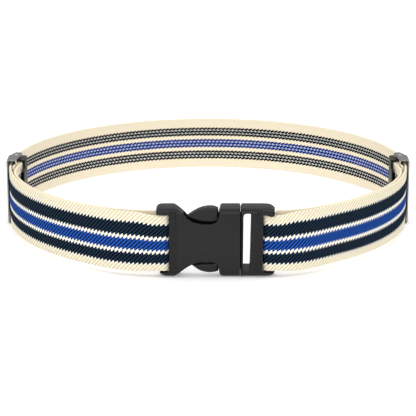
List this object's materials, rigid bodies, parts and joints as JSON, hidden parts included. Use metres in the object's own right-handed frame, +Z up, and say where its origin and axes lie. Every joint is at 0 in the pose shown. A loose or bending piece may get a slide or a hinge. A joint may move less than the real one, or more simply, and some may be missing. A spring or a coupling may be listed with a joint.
{
  "type": "luggage strap",
  "caption": "Adjustable luggage strap: a standing loop of striped twill webbing with a side-release buckle and a metal cam slider on each side.",
  "frame": {"origin": "bottom centre of the object's box, the strap standing on edge as a loop", "axes": "+Z up across the webbing's width, +X along the buckle from its socket half to its arm half, -Y towards the buckle"},
  "size_m": [0.3592, 0.3502, 0.0594],
  "materials": {
    "webbing": "cream twill with two navy stripes and one blue stripe",
    "buckle_plastic": "moulded, satin faces with pebbled bars",
    "slider_metal": "gunmetal plated",
    "pivot_metal": "bright nickel"
  },
  "bodies": {
    "left_half": {"female_body": "buckle_plastic", "left_outer_webbing": "webbing", "left_inner_webbing": "webbing", "left_back_webbing": "webbing", "middle_back_webbing": "webbing"},
    "right_half": {"male_body": "buckle_plastic", "right_outer_webbing": "webbing", "right_inner_webbing": "webbing", "right_back_webbing": "webbing"},
    "left_slider": {"left_sewn_end": "webbing", "left_slider_frame": "slider_metal", "left_upper_pivot": "pivot_metal", "left_lower_pivot": "pivot_metal", "left_anchor_bar": "slider_metal"},
    "left_lever": {"left_cam_lever": "slider_metal"},
    "right_slider": {"right_sewn_end": "webbing", "right_slider_frame": "slider_metal", "right_upper_pivot": "pivot_metal", "right_lower_pivot": "pivot_metal", "right_anchor_bar": "slider_metal"},
    "right_lever": {"right_cam_lever": "slider_metal"},
    "upper_arm": {"upper_arm": "buckle_plastic"},
    "lower_arm": {"lower_arm": "buckle_plastic"}
  },
  "joints": [
    {"name": "buckle_release", "type": "slide", "parent": "left_half", "child": "right_half", "axis": [1, 0, 0], "range_m": [0, 0.045], "deforming": ["middle_back_webbing", "upper_arm", "lower_arm"]},
    {"name": "upper_arm_squeeze", "type": "hinge", "parent": "right_half", "child": "upper_arm", "pos_m": [0.022, -0.16705, 0.0462], "axis": [0, -1, 0], "range_deg": [0, 13], "stiffness_Nm_per_rad": 1.5},
    {"name": "lower_arm_squeeze", "type": "hinge", "parent": "right_half", "child": "lower_arm", "pos_m": [0.022, -0.16705, 0.0132], "axis": [0, 1, 0], "range_deg": [0, 13], "stiffness_Nm_per_rad": 1.5},
    {"name": "left_slider_travel", "type": "hinge", "parent": "left_half", "child": "left_slider", "pos_m": [0, -0.00305, 0.0297], "axis": [0, 0, -1], "range_deg": [-25, 25], "deforming": ["left_inner_webbing"]},
    {"name": "right_slider_travel", "type": "hinge", "parent": "right_half", "child": "right_slider", "pos_m": [0, -0.00305, 0.0297], "axis": [0, 0, 1], "range_deg": [-25, 25], "deforming": ["right_inner_webbing"]},
    {"name": "left_lever_opens", "type": "hinge", "parent": "left_slider", "child": "left_lever", "pos_m": [-0.1735, 0.00295, 0.0297], "axis": [0, 0, 1], "range_deg": [0, 20]},
    {"name": "right_lever_opens", "type": "hinge", "parent": "right_slider", "child": "right_lever", "pos_m": [0.1735, 0.00295, 0.0297], "axis": [0, 0, -1], "range_deg": [0, 20]}
  ]
}
